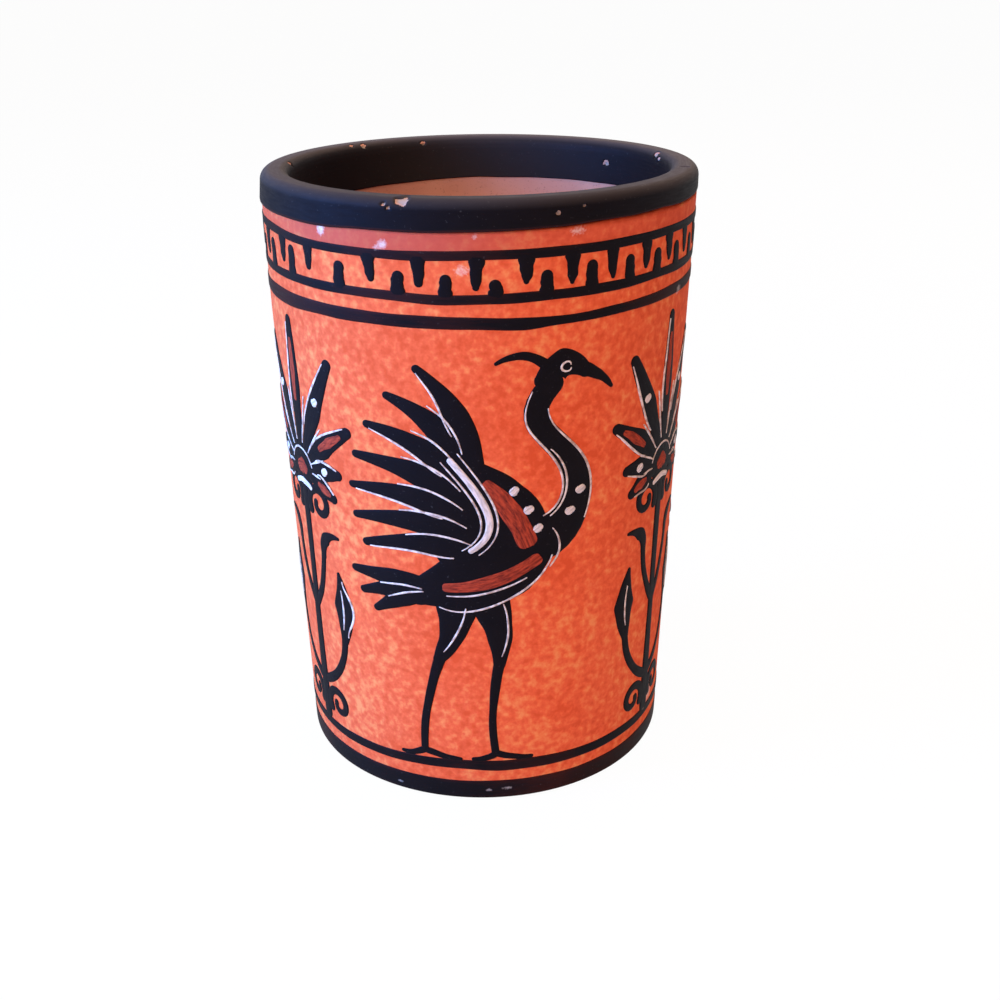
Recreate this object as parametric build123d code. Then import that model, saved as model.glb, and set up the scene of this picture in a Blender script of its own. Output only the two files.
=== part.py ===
from build123d import *
import math
import os

# A straight-sided drinking beaker of fired clay, painted in the black-figure manner.
# Millimetres, +Z up, origin at the middle of the underside, front of the frieze towards -Y.
# The clay is three luted pieces. Every coat of slip brushed on it is a layer of its own.

# The beaker's overall size, over its coats
HEIGHT = 109.0
RIM_RADIUS = 38.0
FOOT_RADIUS = 34.4

# The clay pieces
WALL_THICKNESS = 4.4
FLOOR_FLANGE = 3.4
FLOOR_PLUG = 2.6
FOOT_ROUND = 0.5
RIM_PROUD = 0.2
RING_BELOW_BAND = 0.6
SCARF_RISE = 1.4
LIP_ROUND = 1.6
LIP_FLAT = 0.6

# The coats of slip, each a hair off the face that it lies on
ORANGE_COAT = 0.20
BLACK_COAT = 0.15
RED_COAT = 0.15
WHITE_COAT = 0.20
COAT_SEAT = 0.05

# The painted bands, from the rim down
RIM_BAND = 4.8
INSIDE_BAND = 9.0
KEY_GAP = 3.0
KEY_TOP_LINE_WIDTH = 1.45
KEY_FIELD = 4.75
KEY_BOTTOM_LINE_WIDTH = 1.5
FRIEZE_GAP = 2.5
FRIEZE_LINE_WIDTH = 1.65

# The painted bands, from the foot up
FOOT_BAND_TOP = 4.0
FOOT_GAP = 2.1
GROUND_LINE_WIDTH = 1.9

# The key border: tongues hang from its upper line and stand on its lower one
TONGUE_COUNT = 30
HANGING_TIP_GAP = 0.7
STANDING_TIP_GAP = 1.4
HANGING_ROOT_WIDTH = 2.2
HANGING_TIP_WIDTH = 1.2
STANDING_ROOT_WIDTH = 2.3
STANDING_TIP_WIDTH = 1.9

# The frieze: wading birds between palmette trees, with lines scratched through the black
FIGURE_PAIRS = 3
FIGURE_HEADROOM = 2.0
SCRATCH_WIDTH = 0.42
WHITE_DOT_RADIUS = 0.8

# Heights that the sizes above set
FLOOR_TOP_Z = FLOOR_FLANGE + FLOOR_PLUG
LIP_STEP_Z = HEIGHT - RIM_BAND
SCARF_TOP_Z = HEIGHT - max(RIM_BAND, INSIDE_BAND) - RING_BELOW_BAND
SCARF_Z = SCARF_TOP_Z - SCARF_RISE
KEY_TOP_Z = LIP_STEP_Z - KEY_GAP - KEY_TOP_LINE_WIDTH
KEY_BOTTOM_Z = KEY_TOP_Z - KEY_FIELD
FRIEZE_TOP_Z = KEY_BOTTOM_Z - KEY_BOTTOM_LINE_WIDTH - FRIEZE_GAP - FRIEZE_LINE_WIDTH
GROUND_Z = FOOT_BAND_TOP + FOOT_GAP + GROUND_LINE_WIDTH
MOUTH_RADIUS = RIM_RADIUS - RIM_PROUD

# The frieze is drawn on a grid. Its units follow the room between its two lines and round the side.
GRID_HIGH = 100
GRID_WIDE = 94
UNIT = (FRIEZE_TOP_Z - FIGURE_HEADROOM - GROUND_Z) / GRID_HIGH
ACROSS = min(UNIT, math.pi * (FOOT_RADIUS + MOUTH_RADIUS) / (FIGURE_PAIRS * GRID_WIDE))
FIGURE_ARC = 160.0


def outer_radius(z):
    """Radius of the orange coat's face at height z: one straight taper from foot to mouth."""
    return FOOT_RADIUS + (MOUTH_RADIUS - FOOT_RADIUS) * z / HEIGHT


def clay_radius(z):
    """Radius of the clay's outer face, under the orange coat."""
    return outer_radius(z) - ORANGE_COAT


def bore_radius(z):
    """Radius of the clay's inner face."""
    return clay_radius(z) - WALL_THICKNESS


def turned(profile, arc=360.0):
    """The solid swept by a profile drawn with radius along x and height along y."""
    return revolve(Plane.XZ * profile, axis=Axis.Z, revolution_arc=arc)


def outline(*points):
    """A flat face with straight sides."""
    return make_face(Polyline(*points, close=True))


# The clay


def floor_disc():
    """A disc with a stepped edge: the wall stands on its flange and fits round its raised middle."""
    profile = outline(
        (0, 0),
        (clay_radius(0), 0),
        (clay_radius(FLOOR_FLANGE), FLOOR_FLANGE),
        (bore_radius(FLOOR_FLANGE), FLOOR_FLANGE),
        (bore_radius(FLOOR_TOP_Z), FLOOR_TOP_Z),
        (0, FLOOR_TOP_Z),
    )
    foot_corner = profile.vertices().group_by(Axis.Y)[0].sort_by(Axis.X)[-1]
    return turned(fillet(foot_corner, FOOT_ROUND))


def body_wall():
    """The tapered wall, from the floor's flange to the sloping scarf under the rim ring."""
    return turned(
        outline(
            (bore_radius(FLOOR_FLANGE), FLOOR_FLANGE),
            (clay_radius(FLOOR_FLANGE), FLOOR_FLANGE),
            (clay_radius(SCARF_Z), SCARF_Z),
            (bore_radius(SCARF_TOP_Z), SCARF_TOP_Z),
        )
    )


def lip_face(growth):
    """Section of the rim ring, with its lip's faces moved out by growth and its top edges rounded."""
    top = HEIGHT - BLACK_COAT + growth
    lip_radius = RIM_RADIUS - BLACK_COAT + growth
    mouth_radius = bore_radius(top) - growth
    face = outline(
        (clay_radius(SCARF_Z), SCARF_Z),
        (clay_radius(LIP_STEP_Z), LIP_STEP_Z),
        (lip_radius, LIP_STEP_Z),
        (lip_radius, top),
        (mouth_radius, top),
        (bore_radius(SCARF_TOP_Z) - growth, SCARF_TOP_Z),
    )
    room = min(lip_radius - mouth_radius, 2 * RIM_BAND)
    radius = min(LIP_ROUND + growth, (room - LIP_FLAT) / 2)
    return fillet(face.vertices().group_by(Axis.Y)[-1], radius)


def rim_ring():
    """The lip: a coil of clay on the wall's scarf, a little proud of it outside, with a rounded top."""
    return turned(lip_face(0))


# The coats that go right round


def coat(low, high, lift, thickness, arc=360.0):
    """A layer on the tapered side, seated on a face that is lift above the orange coat's."""
    inner, outer = lift + COAT_SEAT, lift + thickness
    return turned(
        outline(
            (outer_radius(low) + inner, low),
            (outer_radius(low) + outer, low),
            (outer_radius(high) + outer, high),
            (outer_radius(high) + inner, high),
        ),
        arc,
    )


def rim_black_slip():
    """The rim's dip of black slip: down its outside, over the top and further down the inside."""
    middle = (RIM_RADIUS + bore_radius(HEIGHT)) / 2
    inside_z = HEIGHT - INSIDE_BAND
    outside = outline((middle, LIP_STEP_Z), (RIM_RADIUS, LIP_STEP_Z), (RIM_RADIUS, HEIGHT), (middle, HEIGHT))
    inside = outline((0, inside_z), (middle, inside_z), (middle, HEIGHT), (0, HEIGHT))
    return turned((lip_face(BLACK_COAT) - lip_face(COAT_SEAT)) & (outside + inside))


def orange_slip():
    """The orange ground, over the whole side from the foot's rounding to the rim's step."""
    return coat(FOOT_ROUND, LIP_STEP_Z, -ORANGE_COAT, ORANGE_COAT)


def black_band(low, width):
    """A brushed black line right round the beaker."""
    return coat(low, low + width, 0, BLACK_COAT)


# Painting on the side: shapes drawn flat, with u across and z up, and laid on the taper


def painted(faces, low, high, lift, thickness):
    """The drawn faces as a coat of slip at the front of the beaker, between two heights."""
    layer = Rot(Z=-90 - FIGURE_ARC / 2) * coat(low, high, lift, thickness, FIGURE_ARC)
    front = Plane(origin=(0, 0, 0), x_dir=(1, 0, 0), z_dir=(0, -1, 0))
    return layer & extrude(front * faces, amount=2 * RIM_RADIUS)


def around(shapes, count):
    """Copies of the shapes, evenly turned about the axis, as one group of separate solids."""
    copies = [Rot(Z=360 * i / count) * shape for i in range(count) for shape in shapes]
    return Compound([solid for copy in copies for solid in copy.solids()])


def tongue(root_width, tip_width, length):
    """A brush mark with a square root on the x axis and a round tip at y = length."""
    tip = tip_width / 2
    shoulder = length - tip
    sides = Polyline((-tip, shoulder), (-root_width / 2, 0), (root_width / 2, 0), (tip, shoulder))
    return make_face(sides + ThreePointArc((tip, shoulder), (0, length), (-tip, shoulder)))


def key_border(mark, turn):
    """A ring of copies of one mark in the key border, the first of them turned from the front."""
    one = painted(mark, KEY_BOTTOM_Z, KEY_TOP_Z, 0, BLACK_COAT)
    return around([Rot(Z=turn) * one], TONGUE_COUNT)


def key_hanging_tongues():
    """Tapered marks that hang from the key border's upper line."""
    mark = tongue(HANGING_ROOT_WIDTH, HANGING_TIP_WIDTH, KEY_FIELD - HANGING_TIP_GAP)
    return key_border(Pos(0, KEY_TOP_Z) * Rot(Z=180) * mark, 0)


def key_standing_tongues():
    """Broader marks that stand on the key border's lower line, midway between the hanging ones."""
    mark = tongue(STANDING_ROOT_WIDTH, STANDING_TIP_WIDTH, KEY_FIELD - STANDING_TIP_GAP)
    return key_border(Pos(0, KEY_BOTTOM_Z) * mark, 180 / TONGUE_COUNT)


# The frieze's drawing: strokes given by grid points, u across and z up, and half-widths in grid units


def on_grid(point):
    """A grid point in millimetres."""
    return Vector(point[0] * ACROSS, GROUND_Z + point[1] * UNIT)


def stroke(points, half_widths):
    """A brush stroke: a smooth line through the points, with evenly spread half-widths and round ends."""
    path = Spline(*[on_grid(point) for point in points])
    steps = 2 * (len(points) - 1)
    spans = len(half_widths) - 1
    left, right = [], []
    for step in range(steps + 1):
        share = step / steps
        span = min(int(share * spans), spans - 1)
        part = share * spans - span
        half = UNIT * (half_widths[span] * (1 - part) + half_widths[span + 1] * part)
        along = path.tangent_at(share)
        side = Vector(-along.Y, along.X) * half
        left.append(path.position_at(share) + side)
        right.append(path.position_at(share) - side)
    first = path.position_at(0) - path.tangent_at(0) * UNIT * half_widths[0]
    last = path.position_at(1) + path.tangent_at(1) * UNIT * half_widths[-1]
    return make_face(Spline(*left, last, *reversed(right), first, periodic=True))


def joined(strokes):
    """The strokes as one flat shape, merged where they cross."""
    return Sketch() + [stroke(points, half_widths) for points, half_widths in strokes]


def scratched(lines):
    """Thin lines of one width through the points of each line, as one flat shape."""
    half = SCRATCH_WIDTH / 2 / UNIT
    return joined([(points, [half, half]) for points in lines])


def dots(points):
    """Round dabs of white at the points."""
    return Sketch() + [Pos(on_grid(point)) * Circle(WHITE_DOT_RADIUS) for point in points]


def between(a, b, share):
    """The point that divides the way from a to b."""
    return (a[0] + (b[0] - a[0]) * share, a[1] + (b[1] - a[1]) * share)


def polar(hub, angle, reach):
    """The point at that reach from a hub, its angle in degrees from +u towards +z."""
    return (hub[0] + reach * math.cos(math.radians(angle)), hub[1] + reach * math.sin(math.radians(angle)))


def mirrored(strokes):
    """The strokes and their mirror images across the upright line u = 0."""
    return strokes + [([(-u, z) for u, z in points], half_widths) for points, half_widths in strokes]


# The wading bird, facing right

WING_HUB = (4, 52)
WING_FEATHERS = 7
TAIL_HUB = (-11, 44)


def feather(share):
    """Centre line of a wing feather, from the lowest at share 0 to the uppermost at share 1."""
    root = between((4, 52), (-2, 72), share)
    tip = polar(WING_HUB, 178 - 66 * share, 29 + 16 * share)
    middle = between(root, tip, 0.5)
    return [root, (middle[0] + 1.5, middle[1] + 2.5), tip]


def tail_feather(share):
    """Centre line of a tail feather, from the upper one at share 0 to the lower one at share 1."""
    tip = polar(TAIL_HUB, 174 + 34 * share, 17 - 3 * share)
    middle = between(TAIL_HUB, tip, 0.5)
    return [TAIL_HUB, (middle[0], middle[1] + 0.8), tip]


def leg(hip, knee, ankle):
    """A thigh, a thin shin and two toes, from three grid points."""
    thigh_bend = between(hip, knee, 0.5)
    shin_bend = between(knee, ankle, 0.5)
    return [
        ([hip, (thigh_bend[0] + 1, thigh_bend[1]), knee], [4.6, 3.0, 1.4]),
        ([knee, (shin_bend[0] - 1, shin_bend[1]), ankle], [1.3, 0.9, 0.9]),
        ([ankle, (ankle[0] + 4, 1.4), (ankle[0] + 8, 0.9)], [0.9, 0.8, 0.5]),
        ([ankle, (ankle[0] - 2, 1.4), (ankle[0] - 5, 0.9)], [0.9, 0.8, 0.5]),
    ]


def bird_black():
    """The bird's silhouette: body, wing, tail, legs, neck, head, beak and crest."""
    wing = [(feather(i / (WING_FEATHERS - 1)), [2.6, 2.9, 0.9]) for i in range(WING_FEATHERS)]
    tail = [(tail_feather(share), [2.4, 2.4, 0.9]) for share in (0, 0.5, 1)]
    return [
        ([(14, 57), (8, 52), (-3, 47), (-14, 43)], [3.0, 7.5, 8.0, 3.0]),
        ([(10, 55), (5, 64), (-2, 71)], [5.0, 6.0, 3.5]),
        ([(8, 54), (0, 56), (-7, 53)], [4.5, 5.5, 3.0]),
        *wing,
        *tail,
        *leg((1, 42), (3, 26), (2, 2.5)),
        *leg((-6, 41), (-10, 27), (-14, 2.5)),
        ([(12, 56), (19, 63), (18, 73), (12, 81), (14, 90)], [5.5, 3.6, 2.8, 2.5, 2.6]),
        ([(12, 91), (17, 94), (21, 92)], [1.6, 3.3, 1.5]),
        ([(20, 92.5), (23.5, 90.8), (26.5, 87.5)], [1.6, 1.1, 0.4]),
        ([(13, 94), (8, 96.5), (3, 95)], [1.1, 0.9, 0.4]),
    ]


def bird_scratches():
    """Lines between the feathers, round the wing's bar, on the neck and thighs, and the eye."""
    gaps = [(i + 0.5) / (WING_FEATHERS - 1) for i in range(WING_FEATHERS - 1)]
    quills = [[between(a, b, s) for a, b, s in ((f[0], f[1], 0.45), (f[1], f[2], 0.0), (f[1], f[2], 0.4))]
              for f in map(feather, gaps)]
    tail_lines = [[between(f[0], f[1], 0.3), f[1], between(f[1], f[2], 0.4)]
                  for f in map(tail_feather, (0.25, 0.75))]
    eye = [polar((17, 93.4), turn, 1.0) for turn in (20, 110, 200, 290, 340)]
    return [
        *quills,
        *tail_lines,
        eye,
        [(-5, 76), (1, 67), (3, 60), (-1, 53)],
        [(-8.5, 74), (-2.5, 66), (-0.5, 60), (-4.5, 54)],
        [(9, 47), (1, 44), (-8, 43)],
        [(4, 41), (5, 34), (3.6, 28)],
        [(-4, 40), (-6, 34), (-9, 29)],
        [(14, 61), (17, 65), (17, 71), (14, 76)],
        [(14, 49), (16, 53), (14.5, 58)],
    ]


def bird_red():
    """Dark red over the shoulder and along the belly."""
    return [
        ([(9, 56), (5, 64), (1, 69)], [2.4, 2.6, 1.4]),
        ([(11, 51), (4, 47.5), (-8, 45)], [1.6, 1.8, 1.2]),
    ]


def bird_white():
    """White dabs down the shoulder and the neck, and a bar across the wing."""
    bar = ([(-6.5, 74.5), (-0.8, 66.5), (1.2, 60), (-2.6, 54)], [0.7, 0.9, 0.7])
    return dots([(11.5, 58.5), (9.5, 63), (6.5, 67.5), (18.2, 61.5), (20.4, 66)]) + joined([bar])


# The palmette tree

HEART = (0, 64)
PETALS = 9
PETAL_SWEEP = 96.0


def petal(index, start, end):
    """Centre line of a palmette petal between two shares of its length, longest at the top."""
    lean = PETAL_SWEEP * (2 * index / (PETALS - 1) - 1)
    length = 8 + 22 * math.cos(math.radians(lean)) ** 2
    droop = 10 * lean / PETAL_SWEEP
    return [polar(HEART, 90 - lean - droop * share, 4 + length * share)
            for share in (start, (start + end) / 2, end)]


def volute(centre, radius, start, turns):
    """A spiral that winds in on its centre from an angle in degrees."""
    ends = 8
    return [polar(centre, start + 360 * turns * i / ends, radius * (1 - 0.7 * i / ends)) for i in range(ends + 1)]


def tree_black():
    """The tree's silhouette: stem, root volutes, two bud branches, collar, upper volutes and palmette."""
    branches = [
        ([(0, 10), (7, 15), (11, 26)], [1.3, 1.1, 1.0]),
        ([(11, 25), (11.8, 33), (11, 42)], [1.2, 3.4, 0.5]),
        ([(0, 30), (4, 37), (6, 46)], [1.1, 1.0, 0.9]),
        ([(6, 45), (7, 49), (12, 51)], [1.0, 1.6, 0.4]),
        (volute((6, 5.5), 4.2, 210, -1.1), [1.3, 0.9]),
        (volute((6.2, 57.5), 4.4, 210, -1.1), [1.2, 0.9]),
    ]
    petals = [(petal(i, 0, 1), [1.2, 2.7, 1.3]) for i in range(PETALS)]
    return [
        ([(0, 1), (0, 30), (0, 60)], [2.0, 1.4, 1.5]),
        ([(-4, 60.5), (0, 61), (4, 60.5)], [1.2, 2.0, 1.2]),
        ([(-2, 64), (0, 64.5), (2, 64)], [3.0, 4.5, 3.0]),
        *mirrored(branches),
        *petals,
    ]


def tree_scratches():
    """Lines that part the petals, an arc over the palmette's heart and veins on the buds."""
    parted = [petal(i + 0.5, 0.1, 0.5) for i in range(PETALS - 1)]
    heart_arc = [polar(HEART, turn, 5.2) for turn in (160, 125, 90, 55, 20)]
    bud_vein = [(11.2, 28), (11.8, 33), (11.4, 38)]
    return [*parted, heart_arc, bud_vein, [(-u, z) for u, z in bud_vein]]


def tree_red():
    """Dark red on the heart and down the middle of every other petal."""
    cores = [(petal(i, 0.42, 0.86), [0.7, 1.3, 0.7]) for i in range(0, PETALS, 2)]
    return [([(-1.2, 64.5), (0, 64.8), (1.2, 64.5)], [1.6, 2.4, 1.6]), *cores]


def tree_white():
    """White dabs on the petals between the red ones, and a bar round the collar."""
    bar = ([(-3.4, 60.6), (0, 61.2), (3.4, 60.6)], [0.6, 0.8, 0.6])
    return dots([petal(i, 0.5, 0.7)[1] for i in range(1, PETALS, 2)]) + joined([bar])


def frieze():
    """The frieze's coats by name: black figures, then red and white laid on the black."""
    bird = joined(bird_black()) - scratched(bird_scratches())
    tree = joined(tree_black()) - scratched(tree_scratches())
    tree_turn = Rot(Z=180 / FIGURE_PAIRS)

    def layer(faces, lift, thickness):
        return painted(faces, GROUND_Z, FRIEZE_TOP_Z, lift, thickness)

    red_bird = layer((joined(bird_red()) & bird) - bird_white(), BLACK_COAT, RED_COAT)
    red_tree = layer((joined(tree_red()) & tree) - tree_white(), BLACK_COAT, RED_COAT)
    white_bird = layer(bird_white() & bird, BLACK_COAT, WHITE_COAT)
    white_tree = layer(tree_white() & tree, BLACK_COAT, WHITE_COAT)
    return {
        "frieze_birds": around([layer(bird, 0, BLACK_COAT)], FIGURE_PAIRS),
        "frieze_trees": around([tree_turn * layer(tree, 0, BLACK_COAT)], FIGURE_PAIRS),
        "frieze_red_wash": around([red_bird, tree_turn * red_tree], FIGURE_PAIRS),
        "frieze_white_paint": around([white_bird, tree_turn * white_tree], FIGURE_PAIRS),
    }


# Everything, each node in its own file

beaker = {
    "floor_disc": floor_disc(),
    "body_wall": body_wall(),
    "rim_ring": rim_ring(),
    "orange_slip": orange_slip(),
    "rim_black_slip": rim_black_slip(),
    "key_top_line": black_band(KEY_TOP_Z, KEY_TOP_LINE_WIDTH),
    "key_bottom_line": black_band(KEY_BOTTOM_Z - KEY_BOTTOM_LINE_WIDTH, KEY_BOTTOM_LINE_WIDTH),
    "key_hanging_tongues": key_hanging_tongues(),
    "key_standing_tongues": key_standing_tongues(),
    "frieze_top_line": black_band(FRIEZE_TOP_Z, FRIEZE_LINE_WIDTH),
    "frieze_ground_line": black_band(GROUND_Z - GROUND_LINE_WIDTH, GROUND_LINE_WIDTH),
    "foot_band": black_band(FOOT_ROUND, FOOT_BAND_TOP - FOOT_ROUND),
    **frieze(),
}

os.makedirs("parts", exist_ok=True)
for name, shape in beaker.items():
    export_step(shape, f"parts/{name}.step")
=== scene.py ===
import bmesh
import bpy
import numpy as np
from mathutils import Matrix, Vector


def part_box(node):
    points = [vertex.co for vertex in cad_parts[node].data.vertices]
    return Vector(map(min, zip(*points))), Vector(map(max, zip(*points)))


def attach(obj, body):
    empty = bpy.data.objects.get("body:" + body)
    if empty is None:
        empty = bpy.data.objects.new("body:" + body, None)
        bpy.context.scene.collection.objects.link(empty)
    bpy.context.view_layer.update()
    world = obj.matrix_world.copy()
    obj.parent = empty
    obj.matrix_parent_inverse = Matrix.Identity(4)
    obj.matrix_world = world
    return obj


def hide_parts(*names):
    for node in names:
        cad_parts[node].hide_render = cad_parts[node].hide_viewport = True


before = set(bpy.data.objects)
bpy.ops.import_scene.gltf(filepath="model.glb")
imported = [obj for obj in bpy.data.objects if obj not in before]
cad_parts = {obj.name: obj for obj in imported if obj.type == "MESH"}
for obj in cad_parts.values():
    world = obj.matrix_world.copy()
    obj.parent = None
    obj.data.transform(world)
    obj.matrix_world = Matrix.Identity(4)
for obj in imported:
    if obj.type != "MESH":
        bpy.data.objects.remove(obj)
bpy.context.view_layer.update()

# The floor
# A slab of red earthenware, cut off the wheel with a wire and left bare above and below.
# Its stepped edge carries the wall, which is luted on with wet clay.

MM = 0.001
WALL_THICKNESS = 4.4 * MM
ORANGE_COAT = 0.20 * MM
BLACK_COAT = 0.15 * MM
AROUND = np.linspace(-np.pi, np.pi, 288, endpoint=False)
# The hand-thrown side leans at its right, and draws in at its left from a share of its height up
RIGHT_LEAN = 0.22 * MM
LEFT_LEAN = 0.35 * MM
LEFT_LEAN_FROM = 0.82
# The throwing spiral on the floor's top, and how it fades in from the middle and out to the wall
SPIRAL_DEPTH = 0.1 * MM
SPIRAL_PITCH = 3.6 * MM
SPIRAL_FADE_IN = 6 * MM
SPIRAL_FADE_OUT = 3 * MM
# The wire's bowed grooves underneath, and the plain margin round them
WIRE_DEPTH = 0.04 * MM
WIRE_PITCH = 1.7 * MM
WIRE_BOW = 90 * MM
WIRE_MARGIN = 2 * MM
FLOOR_SPACING = 0.6 * MM
# Points nearer than this are one
TOUCH = 1e-7

floor_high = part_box("floor_disc")[1]
wall_low, wall_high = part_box("body_wall")
slip_low, slip_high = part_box("orange_slip")
foot_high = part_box("foot_band")[1]
foot_round = slip_low.z
taper = (slip_high.x - foot_high.x + BLACK_COAT) / (slip_high.z - foot_high.z)


def lean(z, turn):
    """How far the hand-thrown side leans out at the right: out above half height, and in below it."""
    return RIGHT_LEAN * (2 * z / slip_high.z - 1) * np.clip(np.sin(turn), 0, 1) ** 2


def draw_in(z, turn):
    """How far the side draws in at the left, from nothing at most of its height to the most at the rim."""
    share = np.clip((z / slip_high.z - LEFT_LEAN_FROM) / (1 - LEFT_LEAN_FROM), 0, 1)
    return LEFT_LEAN * share * np.clip(-np.sin(turn), 0, 1) ** 2


def side(z, turn=0.0):
    """Radius of the orange coat's face: one straight taper from foot to rim, with the hand's leans."""
    return slip_high.x + taper * (z - slip_high.z) + lean(z, turn) - draw_in(z, turn)


def bore(z, turn=0.0):
    """Radius of the bare inside: the side less the orange coat and the wall."""
    return side(z, turn) - ORANGE_COAT - WALL_THICKNESS


def walk(corners, spacing):
    """Radii and heights along a section's straight runs: its corners, and points a spacing apart."""
    corners = np.array(corners)
    run = np.append(0, np.cumsum(np.hypot(*np.diff(corners, axis=0).T)))
    way = np.union1d(run, np.arange(0, run[-1], spacing))
    return np.interp(way, run, corners[:, 0])[:, None], np.interp(way, run, corners[:, 1])[:, None]


def turned(radius, height, turn):
    """Points of a section carried round the axis: the turn is 0 at the front and grows to the right."""
    radius, height, turn = np.broadcast_arrays(radius, height, turn)
    return np.stack([radius * np.sin(turn), -radius * np.cos(turn), height], axis=-1)


def shell(name, points, material, ring, **marks):
    """A mesh from grids of points, count by rows by columns: each point joins its neighbours in its grid.

    Columns close on themselves, and rows do too in a ring. Rows drawn to a point become poles.
    """
    points = points.reshape((-1,) + points.shape[-3:])
    index = np.arange(points[..., 0].size).reshape(points.shape[:3])
    if ring:
        index = np.concatenate([index, index[:, :1]], axis=1)
    index = np.concatenate([index, index[:, :, :1]], axis=2)
    corners = [index[:, :-1, :-1], index[:, :-1, 1:], index[:, 1:, 1:], index[:, 1:, :-1]]
    quads = np.stack(corners, axis=-1).reshape(-1, 4)
    mesh = bpy.data.meshes.new(name)
    mesh.vertices.add(points[..., 0].size)
    mesh.vertices.foreach_set("co", points.ravel())
    mesh.loops.add(quads.size)
    mesh.loops.foreach_set("vertex_index", quads.ravel())
    mesh.polygons.add(len(quads))
    mesh.polygons.foreach_set("loop_start", np.arange(0, quads.size, 4))
    for key, values in marks.items():
        vector = values.size == points.size
        layer = mesh.attributes.new(key, "FLOAT_VECTOR" if vector else "FLOAT", "POINT")
        layer.data.foreach_set("vector" if vector else "value", values.ravel().astype(np.float32))
    mesh.update(calc_edges=True)
    joined = bmesh.new()
    joined.from_mesh(mesh)
    bmesh.ops.remove_doubles(joined, verts=joined.verts, dist=TOUCH)
    bmesh.ops.recalc_face_normals(joined, faces=joined.faces)
    joined.to_mesh(mesh)
    joined.free()
    mesh.shade_smooth()
    mesh.materials.append(material)
    piece = bpy.data.objects.new(name, mesh)
    bpy.context.scene.collection.objects.link(piece)
    return piece


def linear(code):
    """A hex colour as linear light, by the sRGB curve, with full alpha."""
    share = np.array([int(code[i:i + 2], 16) for i in (1, 3, 5)]) / 255
    light = np.where(share <= 0.04045, share / 12.92, ((share + 0.055) / 1.055) ** 2.4)
    return (*light.tolist(), 1.0)


def node(tree, kind, inputs, **settings):
    """Adds a node with its settings, and gives its inputs values or links from other nodes."""
    made = tree.nodes.new(kind)
    for key, value in settings.items():
        setattr(made, key, value)
    for key, value in inputs.items():
        if isinstance(value, bpy.types.NodeSocket):
            tree.links.new(value, made.inputs[key])
        else:
            made.inputs[key].default_value = value
    return made


def bare_material(name):
    """A material with an empty node tree."""
    material = bpy.data.materials.new(name)
    material.use_nodes = True
    material.node_tree.nodes.clear()
    return material


# Red earthenware, wheel-thrown and fired with no coat on it: dull and dusty, with darker grit
# and a cloudier colour where the kiln was hotter. Freshly broken, it is paler.
clay = bare_material("Bare_Red_Earthenware")
tree = clay.node_tree
place = node(tree, "ShaderNodeTexCoord", {}).outputs["Object"]
fresh = node(tree, "ShaderNodeAttribute", {}, attribute_name="fresh").outputs["Fac"]
cloud = node(tree, "ShaderNodeTexNoise", {"Vector": place, "Scale": 1 / (11 * MM), "Detail": 2.0})
grit = node(tree, "ShaderNodeTexNoise", {"Vector": place, "Scale": 1 / (0.5 * MM), "Detail": 3.0,
                                         "Roughness": 0.7})
fired = node(tree, "ShaderNodeMix", {0: cloud.outputs[0], 6: linear("#B8745E"), 7: linear("#D69781")},
             data_type="RGBA")
speck = node(tree, "ShaderNodeMapRange", {0: grit.outputs[0], 1: 0.58, 2: 0.72, 3: 0.0, 4: 0.55})
gritty = node(tree, "ShaderNodeMix", {0: speck.outputs[0], 6: fired.outputs[2], 7: linear("#8A4E3D")},
              data_type="RGBA")
broken = node(tree, "ShaderNodeMix", {0: fresh, 6: gritty.outputs[2], 7: linear("#A08476")},
              data_type="RGBA")
tooth = node(tree, "ShaderNodeBump", {"Height": grit.outputs[0], "Strength": 0.5, "Distance": 0.08 * MM})
dull = node(tree, "ShaderNodeBsdfPrincipled", {
    "Base Color": broken.outputs[2], "Roughness": 0.86, "IOR": 1.5, "Specular IOR Level": 0.35,
    "Normal": tooth.outputs[0],
})
node(tree, "ShaderNodeOutputMaterial", {"Surface": dull.outputs[0]})

floor_radius, floor_height = walk([
    (0, 0),
    (side(0) - ORANGE_COAT - foot_round, 0),
    (side(0) - ORANGE_COAT - 0.3 * foot_round, 0.3 * foot_round),
    (side(foot_round) - ORANGE_COAT, foot_round),
    (side(wall_low.z) - ORANGE_COAT, wall_low.z),
    (bore(wall_low.z), wall_low.z),
    (bore(floor_high.z), floor_high.z),
    (0, floor_high.z),
], FLOOR_SPACING)
spiral = SPIRAL_DEPTH * np.sin(2 * np.pi * floor_radius / SPIRAL_PITCH - AROUND)
spiral = spiral * np.clip(floor_radius / SPIRAL_FADE_IN, 0, 1)
spiral = spiral * np.clip((bore(floor_high.z) - floor_radius) / SPIRAL_FADE_OUT, 0, 1)
cut_x, cut_y = floor_radius * np.sin(AROUND), floor_radius * np.cos(AROUND)
groove = WIRE_DEPTH * (1 + np.sin(2 * np.pi * (cut_x + cut_y**2 / WIRE_BOW) / WIRE_PITCH))
groove = groove * np.clip((side(0) - WIRE_MARGIN - floor_radius) / WIRE_MARGIN, 0, 1)
marks = np.where(floor_height > floor_high.z - TOUCH, spiral, np.where(floor_height < TOUCH, groove, 0))
floor_reach = floor_radius * (1 + lean(floor_height, AROUND) / side(0))
floor_piece = shell("Clay_Floor", turned(floor_reach, floor_height + marks, AROUND), clay, False)
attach(floor_piece, "root")
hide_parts("floor_disc")

# The wall
# A tapered tube of the same clay, thrown by hand and left bare inside, where the fingers' spiral shows.
# It stands on the floor's flange, and its sloping top is scarfed to the rim.

RIDGE_PITCH = 4.1 * MM
RIDGE_DEPTH = 0.13 * MM
FINE_RIDGES = 0.35
FINE_DEPTH = 0.4
SMOOTH_TOP = 12 * MM
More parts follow.
